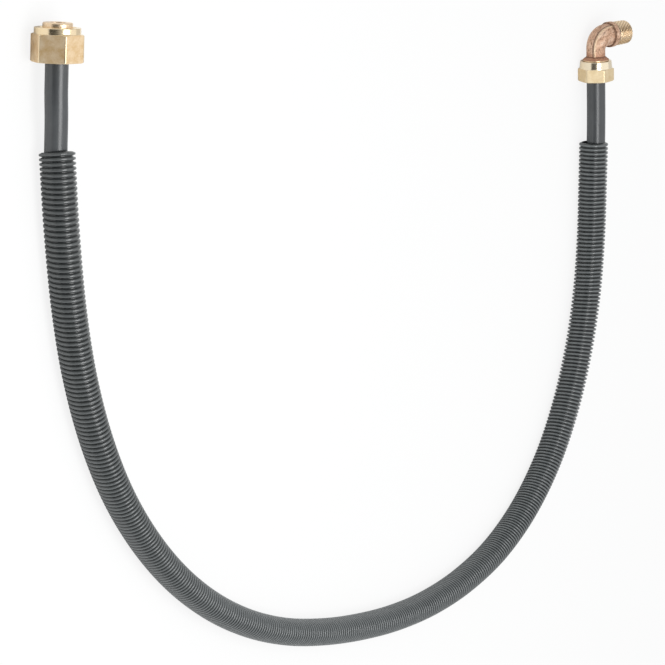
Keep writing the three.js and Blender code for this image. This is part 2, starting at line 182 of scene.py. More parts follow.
def addNode(tree, kind, settings=None, links=None):
    # settings: a socket's or a property's name to its value; links: a socket to (node, output).
    node = tree.nodes.new("ShaderNode" + kind)
    for key, value in (settings or {}).items():
        if key == "stops":
            while len(node.color_ramp.elements) < len(value):
                node.color_ramp.elements.new(0.5)
            for element, (position, colour) in zip(node.color_ramp.elements, value):
                element.position = position
                element.color = linearColour(colour)
        elif isinstance(key, int) or key in node.inputs:
            node.inputs[key].default_value = linearColour(value) if isinstance(value, str) else value
        else:
            setattr(node, key, value)
    for key, (source, output) in (links or {}).items():
        tree.links.new(source.outputs[output], node.inputs[key])
    return node


def newMaterial(name):
    material = bpy.data.materials.new(name)
    material.use_nodes = True
    tree = material.node_tree
    tree.nodes.clear()
    shader = addNode(tree, "BsdfPrincipled")
    addNode(tree, "OutputMaterial", links={"Surface": (shader, "BSDF")})
    own = addNode(tree, "Attribute", {"attribute_name": "own"})    # the piece's own millimetres
    return material, tree, shader, own


def noiseAt(tree, own, size, detail=3.0, stretch=(1, 1, 1)):
    # Noise whose patches are about size millimetres across.
    scaled = addNode(tree, "VectorMath", {"operation": "MULTIPLY", 1: tuple(k / size for k in stretch)},
                     {0: (own, "Vector")})
    settings = {"Scale": 1.0, "Detail": detail, "Roughness": 0.6}
    return addNode(tree, "TexNoise", settings, {"Vector": (scaled, 0)})


def colourRamp(tree, stops, source, output="Fac"):
    return addNode(tree, "ValToRGB", {"stops": stops}, {"Fac": (source, output)})


def spread(tree, source, output, low, high, span=(0, 1)):
    # What runs over the span comes to run from low to high.
    settings = {"From Min": span[0], "From Max": span[1], "To Min": low, "To Max": high}
    return addNode(tree, "MapRange", settings, {"Value": (source, output)})


def darkened(tree, share, colour, patches):
    # The patches multiply the colour, at this share of their strength.
    settings = {"data_type": "RGBA", "blend_type": "MULTIPLY", 0: share}
    return addNode(tree, "Mix", settings, {6: colour, 7: patches})


def pressHeight(tree, shader, source, output, strength, distance):
    bump = addNode(tree, "Bump", {"Strength": strength, "Distance": distance}, {"Height": (source, output)})
    tree.links.new(bump.outputs["Normal"], shader.inputs["Normal"])


def finishPlastic(tree, shader, finish, colour, clouds, relief):
    # Scuffs darken the colour in patches, and the gloss changes with them.
    scuffs = colourRamp(tree, finish["scuffs"], clouds)
    mixed = darkened(tree, finish["scuffShare"], (colour, "Color"), (scuffs, "Color"))
    gloss = spread(tree, clouds, "Fac", *finish["roughness"])
    tree.links.new(mixed.outputs[2], shader.inputs["Base Color"])
    tree.links.new(gloss.outputs["Result"], shader.inputs["Roughness"])
    shader.inputs["IOR"].default_value = finish["ior"]
    shader.inputs["Specular IOR Level"].default_value = finish["specular"]
    pressHeight(tree, shader, relief, "Fac", *finish["relief"])


# In every finish, relief is the bump's strength and its depth in metres.
pipeFinish = {
    "colours": [(0.3, "#3c3e40"), (0.7, "#434648")], "streakSize": 0.9, "streakStretch": (1, 0.02, 1),
    "scuffs": [(0.42, "#c8c8c8"), (0.7, "#ffffff")], "scuffShare": 0.35, "cloudSize": 9,
    "roughness": (0.24, 0.36), "ior": 1.51, "specular": 0.7, "relief": (0.12, 0.00006),
}


def extrudedPipePlastic():
    # Polyethylene pipe drawn through a die: an even dark grey skin, satin, with faint lines along it.
    material, tree, shader, own = newMaterial("extruded_polyethylene")
    streaks = noiseAt(tree, own, pipeFinish["streakSize"], stretch=pipeFinish["streakStretch"])
    clouds = noiseAt(tree, own, pipeFinish["cloudSize"])
    colour = colourRamp(tree, pipeFinish["colours"], streaks)
    finishPlastic(tree, shader, pipeFinish, colour, clouds, streaks)
    return material


conduitFinish = {
    # From the bottom of the grooves up to the crests: the dark low end is painted shade, in the grooves and
    # inside the mouths
    "ridgeColours": [(0.02, "#17191a"), (0.3, "#3b3e3e"), (0.74, "#4c4f4f"), (1.0, "#6e7273")],
    "scuffs": [(0.35, "#b9bcbc"), (0.75, "#ffffff")], "scuffShare": 0.4, "cloudSize": 7, "grainSize": 0.7,
    "roughness": (0.17, 0.27), "ior": 1.5, "specular": 0.75, "relief": (0.15, 0.0001),
}


def mouldedConduitPlastic():
    # Corrugated polyethylene conduit: dull grey, paler on the crests and darker down in the grooves, which is
    # painted shade; how pale the crests are along the conduit is painted light.
    material, tree, shader, own = newMaterial("corrugated_polyethylene")
    crest = addNode(tree, "Attribute", {"attribute_name": "crest"})
    clouds = noiseAt(tree, own, conduitFinish["cloudSize"], detail=4)
    grain = noiseAt(tree, own, conduitFinish["grainSize"], detail=2)
    colour = colourRamp(tree, conduitFinish["ridgeColours"], crest)
    finishPlastic(tree, shader, conduitFinish, colour, clouds, grain)
    return material


brassFinish = {
    "grainSize": 0.9, "lineSize": 0.6, "lineStretch": (0.05, 1, 0.05), "patchSize": 7, "grainShare": 0.4,
    "mottleSpan": (0.5, 0.9), "noiseSpan": (0.3, 0.7), "turnedRoughness": (0.15, 0.21),
    "milledRoughness": (0.46, 0.58), "relief": (0.3, 0.0001),
}


def turnedBrass(name, dark, light, turnedColour):
    # Brass bar: bright where it was turned, with cutting lines round its axis, and duller with a fine
    # mottled grain on the milled flats, where the milled attribute is 1.
    material, tree, shader, own = newMaterial(name)
    milled = addNode(tree, "Attribute", {"attribute_name": "milled"})
    grain = noiseAt(tree, own, brassFinish["grainSize"], detail=4)
    lines = noiseAt(tree, own, brassFinish["lineSize"], detail=2, stretch=brassFinish["lineStretch"])
    patches = noiseAt(tree, own, brassFinish["patchSize"])
    both = addNode(tree, "Math", {"operation": "MULTIPLY_ADD", 1: brassFinish["grainShare"]},
                   {0: (grain, "Fac"), 2: (patches, "Fac")})
    mottled = colourRamp(tree, list(zip(brassFinish["mottleSpan"], (dark, light))), both, "Value")
    colour = addNode(tree, "Mix", {"data_type": "RGBA", 6: turnedColour},
                     {0: (milled, "Fac"), 7: (mottled, "Color")})
    bright = spread(tree, lines, "Fac", *brassFinish["turnedRoughness"], brassFinish["noiseSpan"])
    dull = spread(tree, grain, "Fac", *brassFinish["milledRoughness"], brassFinish["noiseSpan"])
    gloss = addNode(tree, "Mix", {"data_type": "FLOAT"},
                    {0: (milled, "Fac"), 2: (bright, "Result"), 3: (dull, "Result")})
    relief = addNode(tree, "Mix", {"data_type": "FLOAT"},
                     {0: (milled, "Fac"), 2: (lines, "Fac"), 3: (grain, "Fac")})
    tree.links.new(colour.outputs[2], shader.inputs["Base Color"])
    tree.links.new(gloss.outputs[0], shader.inputs["Roughness"])
    shader.inputs["Metallic"].default_value = 1.0
    pressHeight(tree, shader, relief, 0, *brassFinish["relief"])
    return material


castFinish = {
    "castColours": [(0.32, "#be987e"), (0.5, "#dcb69a"), (0.7, "#f0d4bc")], "patchSize": 4.5,
    # The grit is drawn about 1 mm wide, coarser than foundry sand, so that it shows.
    "gritColours": [(0.38, "#7d5e50"), (0.5, "#ffffff")], "gritSize": 1.1, "gritShare": 0.7,
    # crease is the colour of the painted shade in the creases and the thread.
    "cutColours": [(0.3, "#e9cba4"), (0.75, "#f8e4c6")], "stain": "#ab6a4a", "crease": "#4a2f22",
    "castRoughness": (0.5, 0.7), "cutRoughness": 0.24, "metallic": (0.65, 1.0), "cutHeight": 0.5,
    "relief": (0.7, 0.0006),
}


def castGunmetal():
    # Gunmetal sand casting: a dull pinkish brown skin with dark grit, redder low on the leg, and painted
    # shade along the creases and in the thread. Cut surfaces are yellower and brighter, where the machined
    # attribute is 1.
    material, tree, shader, own = newMaterial("sand_cast_gunmetal")
    machined = addNode(tree, "Attribute", {"attribute_name": "machined"})
    stained = addNode(tree, "Attribute", {"attribute_name": "stained"})
    crease = addNode(tree, "Attribute", {"attribute_name": "crease"})
    grit = noiseAt(tree, own, castFinish["gritSize"], detail=5)
    patches = noiseAt(tree, own, castFinish["patchSize"], detail=4)
    cast = colourRamp(tree, castFinish["castColours"], patches)
    gritty = colourRamp(tree, castFinish["gritColours"], grit)
    speckled = darkened(tree, castFinish["gritShare"], (cast, "Color"), (gritty, "Color"))
    stainAmount = addNode(tree, "Math", {"operation": "MULTIPLY"}, {0: (stained, "Fac"), 1: (patches, "Fac")})
    reddened = addNode(tree, "Mix", {"data_type": "RGBA", 7: castFinish["stain"]},
                       {0: (stainAmount, "Value"), 6: (speckled, 2)})
    cut = colourRamp(tree, castFinish["cutColours"], grit)
    skin = addNode(tree, "Mix", {"data_type": "RGBA"},
                   {0: (machined, "Fac"), 6: (reddened, 2), 7: (cut, "Color")})
    colour = addNode(tree, "Mix", {"data_type": "RGBA", 7: castFinish["crease"]},
                     {0: (crease, "Fac"), 6: (skin, 2)})
    asCast = spread(tree, grit, "Fac", *castFinish["castRoughness"])
    gloss = addNode(tree, "Mix", {"data_type": "FLOAT", 3: castFinish["cutRoughness"]},
                    {0: (machined, "Fac"), 2: (asCast, "Result")})
    metal = spread(tree, machined, "Fac", *castFinish["metallic"])
    relief = addNode(tree, "Mix", {"data_type": "FLOAT", 3: castFinish["cutHeight"]},
                     {0: (machined, "Fac"), 2: (grit, "Fac")})
    tree.links.new(colour.outputs[2], shader.inputs["Base Color"])
    tree.links.new(gloss.outputs[0], shader.inputs["Roughness"])
    tree.links.new(metal.outputs["Result"], shader.inputs["Metallic"])
    pressHeight(tree, shader, relief, 0, *castFinish["relief"])
    return material


rubberFinish = {"colours": [(0.3, "#18191a"), (0.8, "#2a2b2c")], "bloomSize": 1.5, "roughness": 0.6,
                "relief": (0.1, 0.00005)}


def sealRubber():
    # EPDM O-ring: moulded black rubber, dull, with a faint bloom.
    material, tree, shader, own = newMaterial("moulded_epdm")
    bloom = noiseAt(tree, own, rubberFinish["bloomSize"])
    colour = colourRamp(tree, rubberFinish["colours"], bloom)
    tree.links.new(colour.outputs["Color"], shader.inputs["Base Color"])
    shader.inputs["Roughness"].default_value = rubberFinish["roughness"]
    pressHeight(tree, shader, bloom, "Fac", *rubberFinish["relief"])
    return material


# The brasses' colours are the milled flats' dark and light, and the turned surfaces'.
finishes = {
    "pipe_plastic": extrudedPipePlastic(),
    "conduit_plastic": mouldedConduitPlastic(),
    "brass": turnedBrass("turned_brass", "#d9b886", "#efdaba", "#eed9b4"),
    "pale_brass": turnedBrass("pale_turned_brass", "#e0c99f", "#f2e0bd", "#f3e4c8"),
    "gunmetal": castGunmetal(),
    "seal_rubber": sealRubber(),
}
print("materials made")


def makePiece(name, grid, own, node, slotName, body, closeColumns=True, marks=None):
    # A grid of points whose rows close on themselves, with quads between neighbours, turned outwards.
    rows, columns = grid.shape[:2]
    index = np.arange(rows * columns).reshape(rows, columns)
    nextRow = np.roll(index, -1, 0)
    quads = np.stack([index, nextRow, np.roll(nextRow, -1, 1), np.roll(index, -1, 1)], -1)
    quads = (quads if closeColumns else quads[:, :-1]).reshape(-1, 4)
    points = grid.reshape(-1, 3) * toMetres
    p = points[quads]
    volume = np.einsum("ij,ij->", p[:, 0], np.cross(p[:, 1], p[:, 2]) + np.cross(p[:, 2], p[:, 3]))
    outwards = 1 if volume > 0 else -1
    faces = quads[:, ::outwards].tolist()
    if not closeColumns:
        faces += [index[::outwards, 0].tolist(), index[::-outwards, -1].tolist()]
    mesh = bpy.data.meshes.new(name)
    mesh.from_pydata(points.tolist(), [], faces)
    ownPlaces = mesh.attributes.new("own", "FLOAT_VECTOR", "POINT")
    ownPlaces.data.foreach_set("vector", own.ravel().astype(np.float32))
    for mark, values in (marks or {}).items():
        amounts = mesh.attributes.new(mark, "FLOAT", "POINT")
        amounts.data.foreach_set("value", values.ravel().astype(np.float32))
    mesh.polygons.foreach_set("use_smooth", np.ones(len(faces), bool))
    mesh.materials.append(finishes[slotName])
    mesh.update()
    piece = bpy.data.objects.new(name, mesh)
    bpy.context.scene.collection.objects.link(piece)
    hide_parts(node)
    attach(piece, body)
    return piece


# The most of a straight part that a round takes at each end, and that a round with its held row takes
roundsMost = {"round": 0.36, "hold": 0.45}


def outline(corners, rounds, steps):
    # A closed outline (corner, column, 2): each corner becomes the quadratic curve between points at
    # its round's distance before and after it, with one more row outside each end to hold the shading,
    # and the straight part after it is divided into steps.
    backward, forward = np.roll(corners, 1, 0) - corners, np.roll(corners, -1, 0) - corners
    backLength = np.linalg.norm(backward, axis=-1, keepdims=True)
    foreLength = np.linalg.norm(forward, axis=-1, keepdims=True)
    rounds = np.array(rounds, float)[:, None, None]

    def offset(way, length, share, most):
        return corners + way / length * np.minimum(share * rounds, most * length)

    start = offset(backward, backLength, 1, roundsMost["round"])
    end = offset(forward, foreLength, 1, roundsMost["round"])
    bends = [(1 - t) ** 2 * start + 2 * t * (1 - t) * corners + t * t * end for t in (1 / 3, 2 / 3)]
    holdStart = offset(backward, backLength, 2, roundsMost["hold"])
    holdEnd = offset(forward, foreLength, 2, roundsMost["hold"])
    rows = np.stack([holdStart, start, *bends, end, holdEnd], 1)
    straightRows = slice(rows.shape[1] - 1, None, rows.shape[1])
    rows = rows.reshape(-1, *corners.shape[1:])
    counts = np.ones(len(rows), int)
    gaps = np.linalg.norm(np.roll(rows, -1, 0) - rows, axis=-1).max(1)
    counts[straightRows] = np.maximum(1, np.ceil(gaps[straightRows] / np.array(steps, float)))
    index = np.repeat(np.arange(len(rows)), counts)
    share = (np.arange(len(index)) - np.repeat(np.cumsum(counts) - counts, counts)) / counts[index]
    return rows[index] + (np.roll(rows, -1, 0)[index] - rows[index]) * share[:, None, None]


def profiled(profile, columns):
    # profile lists (radius, along, round, step after it) for each corner of a closed outline.
    profile = np.array(profile, float)
    corners = np.repeat(profile[:, None, :2], columns, 1)
    return outline(corners, profile[:, 2], profile[:, 3])


def turned(loop, angle):
    # x = radius sin(angle), y = along, z = radius cos(angle).
    return np.stack([loop[..., 0] * np.sin(angle), loop[..., 1], loop[..., 0] * np.cos(angle)], -1)


# Where each nut's rear face stands, as part.mjs has it, its turn about Z in radians, and how far on the
# fitting's own face meets the end of the pipe
unionSpot = {"place": (-356.4131, 170.0778, 16.0), "turn": 0.111806, "face": 10.3}
elbowSpot = {"place": (339.1890, 205.6244, 14.0), "turn": 0.221316, "face": 8.3}


def onSpot(points, spot):
    # Turned about Z and moved to the fitting's rear face.
    c, s = np.cos(spot["turn"]), np.sin(spot["turn"])
    x, y, z = points[..., 0], points[..., 1], points[..., 2]
    return np.stack([x * c - y * s, x * s + y * c, z], -1) + np.array(spot["place"])


# The inner pipe, from inside one nut to inside the other
ringDistance = np.linspace(0, routeLength, int(routeLength / pipe["step"]) + 1)
edge, edgeLength = pipe["edge"], pipe["edge"] * pipe["edgeShare"]
ends = ([0, edgeLength], [routeLength - edgeLength, routeLength])
outside = np.concatenate([ends[0], ringDistance[1:-1], ends[1]])
outsideRadius = np.full(len(outside), pipe["radius"])
outsideRadius[[0, -1]] -= edge
outsideRadius[[1, -2]] -= edgeLength
inside = ringDistance[::-1]
distance = np.concatenate([outside, inside])
radius = np.concatenate([outsideRadius, np.full(len(inside), pipe["radius"] - pipe["wall"])])
one = np.ones(len(distance))
grid, own = tube(radius, distance, pipe["sides"], one, one, *pipePlace(distance))
innerPipe = makePiece("inner_pipe_skin", grid, own, "inner_pipe", "pipe_plastic", "hose")
print("inner pipe made")

# The corrugated conduit, with every ridge
# The ridge number at a distance is the sum of 1 / pitch up to it, stretched a little to end on a whole ridge.
fineDistance = np.linspace(conduitStart, conduitEnd, conduit["finePoints"])
finePitch = np.interp(conduitShare(fineDistance), *np.array(conduit["pitches"]).T)
middlePitch = 0.5 * finePitch[1:] + 0.5 * finePitch[:-1]
ridgeNumber = np.concatenate([[0], np.cumsum(np.diff(fineDistance) / middlePitch)])
ridges = round(ridgeNumber[-1])
ridgeNumber *= ridges / ridgeNumber[-1]
rings = ridges * conduit["perRidge"] + 1
phase = np.linspace(0, ridges, rings)
groove = (0.5 + 0.5 * np.cos(2 * np.pi * phase)) ** conduit["grooveSharpness"]
crest = 1 - groove
outside = np.interp(phase, ridgeNumber, fineDistance)
outsideRadius = conduit["radius"] - conduit["ridgeDepth"] * groove
# Inside, the ridges are open at both mouths and the wall is plain between.
openRings = conduit["openRidges"] * conduit["perRidge"] + 1
plain = np.linspace(outside[openRings - 1], outside[-openRings], conduit["plainRings"])[1:-1]
openInside = outsideRadius - conduit["wall"]
inside = np.concatenate([outside[:openRings], plain, outside[-openRings:]])[::-1]
plainRadius = np.full(len(plain), conduit["bore"])
insideRadius = np.concatenate([openInside[:openRings], plainRadius, openInside[-openRings:]])
distance = np.concatenate([outside, inside])
radius = np.concatenate([outsideRadius, insideRadius[::-1]])
# The inside takes a low crest mark, so it is painted dark: painted shade.
crestMark = np.concatenate([crest, np.full(len(inside), conduit["insideCrest"])])
one = np.ones(len(distance))
grid, own = tube(radius, distance, conduit["sides"], conduitWidth(distance), one, 0 * one,
                 conduit["radius"] * one)
# The union end was cut a little askew, by cos(angle - slantAngle) slant, fading out along the conduit,
# and the rings on the legs lean by cos(angle - leanAngle) lean.
angle = evenAngles(conduit["sides"])
askew = np.cos(angle - np.radians(conduit["slantAngle"])) * conduit["slant"]
fadeStart = 1 - smoothStep((distance - conduitStart) / conduit["slantReach"])
_, along, _ = routeFrame(distance)
lean = np.interp(conduitShare(distance), *np.array(conduit["leans"]).T)
leanAngle = np.radians(np.interp(conduitShare(distance), *np.array(conduit["leanAngles"]).T))
leaning = np.cos(angle - leanAngle[:, None])
backward = fadeStart[:, None] * askew - lean[:, None] * leaning
grid[..., :2] -= backward[..., None] * along[:, None]
# The crests are painted palest along the bottom of the U, and paler on the elbow's leg than the union's,
# painted light in place of reflections: crest (leg + (1 - leg) sin^2(pi share)).
leg = np.interp(conduitShare(distance), (0, 1), conduit["legCrest"])
paintedLightShare = leg + (1 - leg) * np.sin(np.pi * conduitShare(distance)) ** 2
crestMark = np.repeat((crestMark * paintedLightShare)[:, None], conduit["sides"], 1)
corrugated = makePiece("corrugated_conduit_skin", grid, own, "corrugated_conduit", "conduit_plastic", "hose",
                       marks={"crest": crestMark})
print(f"conduit made with {ridges} ridges")

# Nuts: turned from hexagon bar, with chamfered corners and a round collar. The union nut's inside thread
# shows at its mouth. The elbow nut's is hidden on the casting, and is left plain.
unionNut = {
    "flats": 32.0, "hexHeight": 19.0, "collarFoot": 15.88, "collarTop": 15.88, "collarHeight": 4.4,
    "chamfer": 1.3, "rear": 8.5, "seatStart": 3.2, "seatLength": 5.8, "seatSlope": 0.5, "thread": 12.05,
    "mouthChamfer": 1.2, "fillet": 0.7, "threadDepth": 1.0, "pitch": 1.814, "rubbed": 0.5,
}
elbowNut = {
    "flats": 27.0, "hexHeight": 11.2, "collarFoot": 14.0, "collarTop": 13.45, "collarHeight": 6.4,
    "chamfer": 1.3, "rear": 8.5, "seatStart": 2.0, "seatLength": 5.8, "seatSlope": 0.5, "thread": 11.25,
    "mouthChamfer": 0.3, "fillet": 0.5, "threadDepth": 0.0, "pitch": 1.5, "rubbed": 0.25,
}
# What both nuts share: how the columns crowd to the hexagon's corners, the chamfers' slope and least
# sizes, the breaks of the edges, and how far the milled flats and the rubbed corners reach
nutMake = {
    "perHalf": 13, "crowding": 1.9, "sharpness": 64, "chamferSlope": 0.6, "rearChamfer": 0.14,
    "rearDrop": 0.12, "topChamfer": 0.08, "topDrop": 0.08, "boreBreak": 0.3, "collarBreak": 0.4,
    "seatRelief": 0.6, "threadStart": 1.2, "threadEnd": 0.1, "flatDepth": 3.0, "slack": 0.02,
    "rubbedFade": 0.3, "boreSlack": 0.05,
}
threadFade = 0.35    # of a turn, at each end of a thread


def hexagonRadius(angle, flats):
    # a / (sum over the flats of cos(angle - flat)^p)^(1/p): a hexagon with softly rounded corners.
    away = angle[:, None] - np.arange(6) * np.pi / 3
    p = nutMake["sharpness"]
    return flats / 2 / (np.maximum(np.cos(away), 0) ** p).sum(1) ** (1 / p)


def hexagonAngles():
    # Closer together towards the corners, which lie half way between the flats.
    half = 1 - (1 - np.linspace(0, 1, nutMake["perHalf"], endpoint=False)) ** nutMake["crowding"]
    flat = np.concatenate([half, 2 - half[1:][::-1], [1.0]])
    flat = np.sort(np.unique(np.round(flat, 9))) / 2 * np.pi / 3
    return (np.arange(6)[:, None] * np.pi / 3 + flat[None]).ravel()


def threaded(loop, angle, start, end, depth, pitch, inwards):
    # Adds depth (0.5 + 0.5 cos(2 pi (along / pitch - angle / 2 pi))) to the radius between start and end,
    # fading in and out over threadFade of a turn.
    along = loop[..., 1]
    wave = 0.5 + 0.5 * np.cos(2 * np.pi * (along / pitch - angle / (2 * np.pi)))
    reach = threadFade * pitch
    fade = smoothStep((along - start) / reach) * smoothStep((end - along) / reach)
    return depth * wave * fade * (1 if inwards else -1)


def makeNut(name, nut, node, slotName, body, spot):
    angle = hexagonAngles()
    hexagon = hexagonRadius(angle, nut["flats"])
    corner = nut["flats"] / np.sqrt(3)
    edge = corner - nut["chamfer"]
    high, top = nut["hexHeight"], nut["hexHeight"] + nut["collarHeight"]
    rear, thread, mouth = nut["rear"], nut["thread"], nut["mouthChamfer"]
    seatEnd = nut["seatStart"] + nut["seatLength"]
    seatWide = rear + nut["seatSlope"] * nut["seatLength"]
    collarEdge = nutMake["collarBreak"]
    rearEdge = np.minimum(edge, hexagon - nutMake["rearChamfer"])
    topEdge = np.minimum(edge, hexagon - nutMake["topChamfer"])
    topEdge = np.maximum(topEdge, np.minimum(hexagon, nut["collarFoot"]))
    rearDrop = np.maximum(nutMake["rearDrop"], nutMake["chamferSlope"] * (hexagon - rearEdge))
    topDrop = np.maximum(nutMake["topDrop"], nutMake["chamferSlope"] * (hexagon - topEdge))
    # (radius, along, round, step after it), where the radius and the place along may change round the nut
    corners = [
        (rear + nutMake["boreBreak"], 0, 0.15, 3), (rearEdge, 0, 0.12, 3), (hexagon, rearDrop, 0.12, 1.2),
        (hexagon, high - topDrop, 0.1, 3), (topEdge, high, 0.1, 3),
        (nut["collarFoot"], high, nut["fillet"], 2), (nut["collarTop"], top - collarEdge, 0.25, 2),
        (nut["collarTop"] - collarEdge, top, 0.15, 2), (thread + mouth, top, 0.1, 1),
        (thread, top - mouth, 0.1, 0.17), (thread, seatEnd + nutMake["seatRelief"], 0.2, 1),
        (seatWide, seatEnd, 0.2, 1), (rear, nut["seatStart"], 0.2, 1), (rear, nutMake["boreBreak"], 0.1, 1),
    ]
    same = np.ones(len(angle))
    loop = outline(
        np.stack([np.stack([r * same, y * same], -1) for r, y, _, _ in corners]),
        [c[2] for c in corners], [c[3] for c in corners],
    )
    bore = np.abs(loop[..., 0] - thread) < nutMake["boreSlack"]
    cutStart, cutEnd = seatEnd + nutMake["threadStart"], top - mouth - nutMake["threadEnd"]
    cut = threaded(loop, angle, cutStart, cutEnd, nut["threadDepth"], nut["pitch"], True)
    loop[..., 0] += cut * bore
    own = turned(loop, angle)
    flatStart, flatEnd = rearDrop - nutMake["slack"], high - topDrop + nutMake["slack"]
    milled = (loop[..., 1] > flatStart) & (loop[..., 1] < flatEnd)
    milled = milled & (loop[..., 0] > edge - nutMake["flatDepth"])
    # The corners are rubbed bright.
    rubbed = np.clip((hexagon - (corner - nut["rubbed"])) / nutMake["rubbedFade"], 0, 1)
    return makePiece(name, onSpot(own, spot), own, node, slotName, body,
                     marks={"milled": milled * (1 - rubbed)})


makeNut("union_nut_turned", unionNut, "union_nut", "brass", "union_nut", unionSpot)
elbowNutPiece = makeNut("elbow_nut_turned", elbowNut, "elbow_nut", "pale_brass", "hose", elbowSpot)
print("nuts made")

# The clamp rings, split and coned: each stands back from its nut's seat, with a small clearance
ring = {"bore": 8.25, "slit": 1.6, "columns": 90, "setBack": 0.72, "clearance": 0.339, "rim": 1.2}


def makeRing(name, nut, pipeEnd, node, body, spot):
    start = nut["seatStart"] + ring["setBack"]
    foot = nut["rear"] + nut["seatSlope"] * ring["setBack"] - ring["clearance"]
    coneEnd = pipeEnd - ring["rim"]
    wide = foot + nut["seatSlope"] * (coneEnd - start)
    half = np.arcsin(ring["slit"] / 2 / ring["bore"])
    angle = np.linspace(half, 2 * np.pi - half, ring["columns"])
    loop = profiled([
        (ring["bore"], start, 0.03, 2), (foot, start, 0.03, 2), (wide, coneEnd, 0.12, 2),
        (wide, pipeEnd, 0.15, 2), (ring["bore"], pipeEnd, 0.12, 1.6),
    ], ring["columns"])
    own = turned(loop, angle)
    return makePiece(name, onSpot(own, spot), own, node, "brass", body, closeColumns=False,
                     marks={"milled": np.zeros(loop.shape[:2])})


makeRing("union_clamp_ring_split", unionNut, pipe["inUnion"], "union_clamp_ring", "union_clamp_ring",
         unionSpot)
makeRing("elbow_clamp_ring_split", elbowNut, pipe["inElbow"], "elbow_clamp_ring", "hose", elbowSpot)

# Spigots, which both fittings push into the pipe
spigot = {
    "radius": 5.5, "length": 18.0, "chamfer": 0.5, "waterway": 3.5, "grooves": (4.0, 9.5),
    "grooveFloor": 4.2, "grooveHalf": 0.85, "boreCone": 2.0,
}
# The union insert: flange, groove for the cone seal, rounded head with a bore
insert = {
    "flange": 11.4, "flangeLength": 3.0, "flangeChamfer": 0.5, "head": 10.25, "end": 26.7, "headRound": 1.1,
    "grooveFloor": 9.0, "grooveMiddle": 20.1, "grooveHalf": 1.05, "bore": 5.5, "boreDepth": 12.0,
    "columns": 96, "machined": 0.85,
}
# O-rings, two on each spigot and one on the insert's head: (radius, radius of the cord)
seal = {"spigot": (5.0, 0.5), "head": (10.05, 0.75), "around": 20, "columns": 72}


def spigotSeals(fitting, spot):
    freeEnd = spot["face"] - spigot["length"]
    return [(fitting + "_spigot_seal_" + letter, spot, *seal["spigot"], freeEnd + place)
            for letter, place in zip("ab", spigot["grooves"])]


headSeal = ("union_cone_seal", unionSpot, *seal["head"], insert["grooveMiddle"])
seals = [*spigotSeals("union", unionSpot), headSeal, *spigotSeals("elbow", elbowSpot)]
for name, spot, ringRadius, cordRadius, along in seals:
    around = evenAngles(seal["around"])
    section = np.stack([ringRadius + cordRadius * np.cos(around), along + cordRadius * np.sin(around)], -1)
    own = turned(np.repeat(section[:, None], seal["columns"], 1), evenAngles(seal["columns"]))
    makePiece(name + "_ring", onSpot(own, spot), own, name, "seal_rubber", "hose")
print("clamp rings and seals made")


def spigotProfile(face):
    freeEnd, waterway, outer = face - spigot["length"], spigot["waterway"], spigot["radius"]
    profile = [(waterway, freeEnd, 0.15, 4), (outer - spigot["chamfer"], freeEnd, 0.15, 2),
               (outer, freeEnd + spigot["chamfer"], 0.15, 2)]
    for place in spigot["grooves"]:
        low, high = freeEnd + place - spigot["grooveHalf"], freeEnd + place + spigot["grooveHalf"]
        profile += [(outer, low, 0.08, 2), (spigot["grooveFloor"], low, 0.08, 2),
                    (spigot["grooveFloor"], high, 0.08, 2), (outer, high, 0.08, 2)]
    return profile + [(outer, face, 0.15, 2)]


flangeEnd = unionSpot["face"] + insert["flangeLength"]
grooveLow = insert["grooveMiddle"] - insert["grooveHalf"]
grooveHigh = insert["grooveMiddle"] + insert["grooveHalf"]
boreEnd = insert["end"] - insert["boreDepth"]
loop = profiled(spigotProfile(unionSpot["face"]) + [
    (insert["flange"], unionSpot["face"], 0.4, 2), (insert["flange"], flangeEnd, 0.3, 2),
    (insert["head"], flangeEnd + insert["flangeChamfer"], 0.2, 2), (insert["head"], grooveLow, 0.12, 2),
    (insert["grooveFloor"], grooveLow, 0.12, 2), (insert["grooveFloor"], grooveHigh, 0.12, 2),
    (insert["head"], grooveHigh, 0.12, 1), (insert["head"], insert["end"], insert["headRound"], 2),
    (insert["bore"], insert["end"], 0.3, 2), (insert["bore"], boreEnd, 0.2, 2),
    (spigot["waterway"], boreEnd - spigot["boreCone"], 0.2, 4),
], insert["columns"])
own = turned(loop, evenAngles(insert["columns"]))
none = np.zeros(loop.shape[:2])
makePiece("union_insert_turned", onSpot(own, unionSpot), own, "union_insert", "gunmetal", "hose",
          marks={"machined": none + insert["machined"], "stained": none, "crease": none})
print("union insert made")

# The elbow casting: its centre line runs up the leg, round the corner and out along +X
casting = {
    "nutThread": 10.9, "flangeStart": 17.9, "flangeTop": 18.6, "flangeShoulder": 20.6, "flange": 11.4,
    "leg": 8.1, "footFlare": 0.6, "footRise": 0.8, "corner": 38.0, "bend": 11.0, "body": 9.5,
    "shoulderStart": 14.8, "shoulderEnd": 19.2, "shoulder": 11.0, "neck": 9.7, "neckEdge": 0.3,
    "neckShort": 0.4, "threadStart": 20.8, "threadRun": 0.3, "thread": 10.48, "threadDepth": 1.1,
    "pitch": 1.814, "taper": 0.3, "end": 35.8, "endChamfer": (1.0, 0.9), "outletBore": 7.5,
    "outletBoreDepth": 15.0, "bendBore": 5.0, "boreCone": 2.0, "rise": 13.0, "columns": 168,
    "crestBand": 0.35, "nickDepth": 0.3, "nicks": 24, "nickEnd": 0.8,
}
seam = {"radius": 1.1, "sunk": 0.25, "angle": 38.0, "start": 0.2, "fadeIn": 0.8, "fadeOut": 0.2, "shine": 0.7}
# How strong the marks are that the casting's material reads, and how far they reach: the stain, and the
# painted shade
castMarks = {
    "stain": 0.9, "stainReach": 7.0, "besideSeam": 1.35, "besideWidth": 0.55, "besideDepth": 0.8,
    "besideStart": 1.0, "valleyShade": 0.25, "valleySharpness": 3, "nickShade": 0.45,
}
